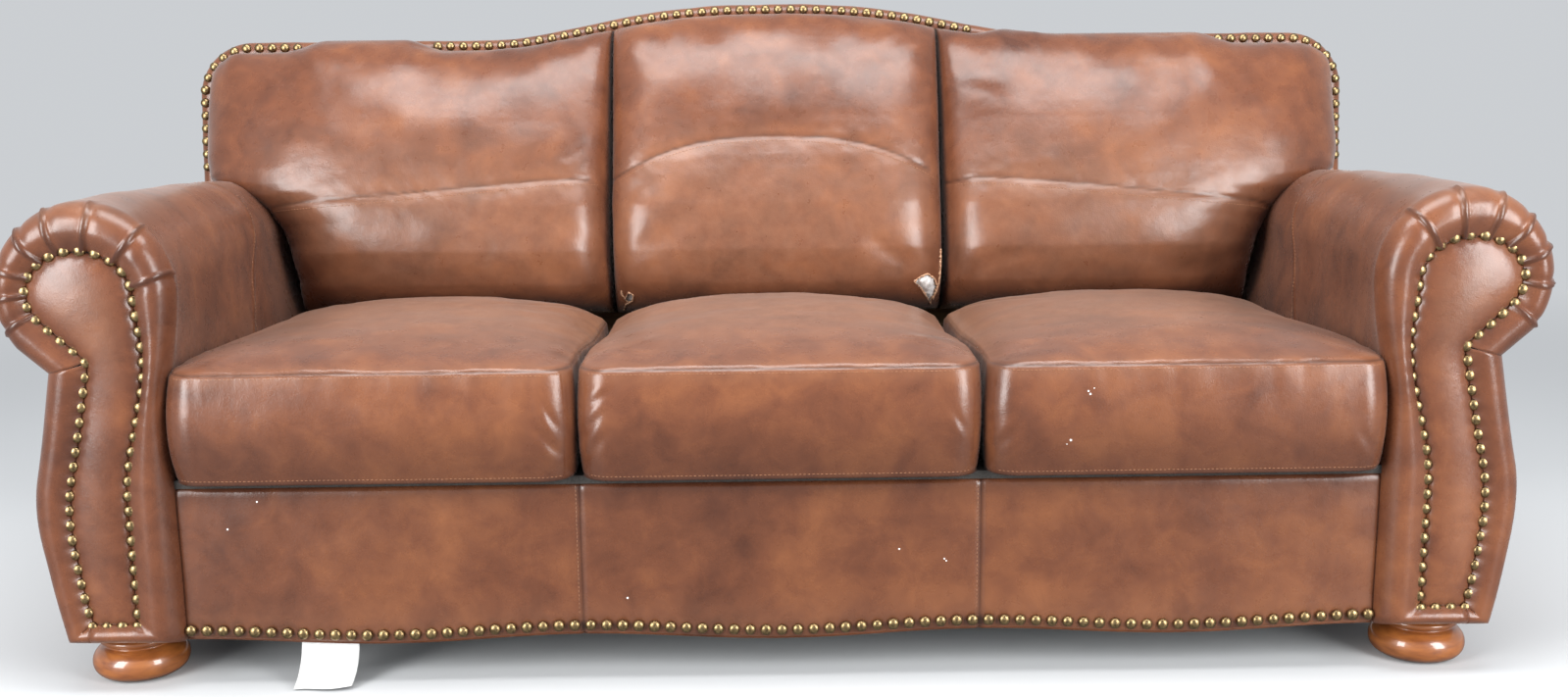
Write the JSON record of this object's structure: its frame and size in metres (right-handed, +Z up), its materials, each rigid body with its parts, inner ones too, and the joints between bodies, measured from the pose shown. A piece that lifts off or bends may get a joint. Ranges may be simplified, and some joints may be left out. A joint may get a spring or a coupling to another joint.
{
  "type": "worn leather sofa",
  "caption": "Worn brown leather sofa with rolled arms, nail-head trim, a camel back with attached pillow cushions, loose box seat cushions and turned bun feet.",
  "frame": {"origin": "on the floor, under the middle of the sofa's box", "axes": "+X to the right as seen from the front, along the length; +Y to the rear; +Z up"},
  "size_m": [2.197, 0.94, 0.9952],
  "materials": {
    "worn_leather": "two-tone antiqued reddish brown, semi-gloss, worn and scuffed",
    "frame_wood": "sawn softwood, unfinished",
    "lacquered_wood": "amber stain under gloss lacquer",
    "spring_steel": "dull drawn wire",
    "seat_foam": "open-cell foam",
    "fibre_fill": "loose white polyester fibre",
    "webbing_cloth": "woven band",
    "deck_felt": "pressed felt under cloth",
    "dust_cloth": "thin black non-woven cloth",
    "label_cloth": "thin white satin cloth, blank",
    "antique_brass": "antique brass nail heads, dark in the recesses",
    "sewing_thread": "heavy brown thread"
  },
  "bodies": {
    "root": {"back_border": "worn_leather", "back_lower_rail": "frame_wood", "back_top_rail": "frame_wood", "care_label": "label_cloth", "dust_cover": "dust_cloth", "front_rail_cover": "worn_leather", "front_seat_rail": "frame_wood", "left_arm_base_rail": "frame_wood", "left_arm_facing": "worn_leather", "left_arm_front_post": "frame_wood", "left_arm_inside_cover": "worn_leather", "left_arm_outside_cover": "worn_leather", "left_arm_rear_post": "frame_wood", "left_arm_top_rail": "frame_wood", "left_back_cushion_cover": "worn_leather", "left_back_cushion_fill": "fibre_fill", "left_back_post": "frame_wood", "left_back_upright": "frame_wood", "left_back_webbing": "webbing_cloth", "left_front_foot": "lacquered_wood", "left_front_foot_block": "frame_wood", "left_rear_foot": "lacquered_wood", "left_rear_foot_block": "frame_wood", "left_seat_cushion_core": "seat_foam", "left_seat_cushion_cover": "worn_leather", "left_seat_springs": "spring_steel", "left_seat_stretcher": "frame_wood", "left_side_rail": "frame_wood", "middle_back_cushion_cover": "worn_leather", "middle_back_cushion_fill": "fibre_fill", "middle_back_webbing": "webbing_cloth", "middle_seat_cushion_core": "seat_foam", "middle_seat_cushion_cover": "worn_leather", "middle_seat_springs": "spring_steel", "outside_back_panel": "worn_leather", "rear_seat_rail": "frame_wood", "right_arm_base_rail": "frame_wood", "right_arm_facing": "worn_leather", "right_arm_front_post": "frame_wood", "right_arm_inside_cover": "worn_leather", "right_arm_outside_cover": "worn_leather", "right_arm_rear_post": "frame_wood", "right_arm_top_rail": "frame_wood", "right_back_cushion_cover": "worn_leather", "right_back_cushion_fill": "fibre_fill", "right_back_post": "frame_wood", "right_back_upright": "frame_wood", "right_back_webbing": "webbing_cloth", "right_front_foot": "lacquered_wood", "right_front_foot_block": "frame_wood", "right_rear_foot": "lacquered_wood", "right_rear_foot_block": "frame_wood", "right_seat_cushion_core": "seat_foam", "right_seat_cushion_cover": "worn_leather", "right_seat_springs": "spring_steel", "right_seat_stretcher": "frame_wood", "right_side_rail": "frame_wood", "seat_deck": "deck_felt"}
  },
  "joints": []
}
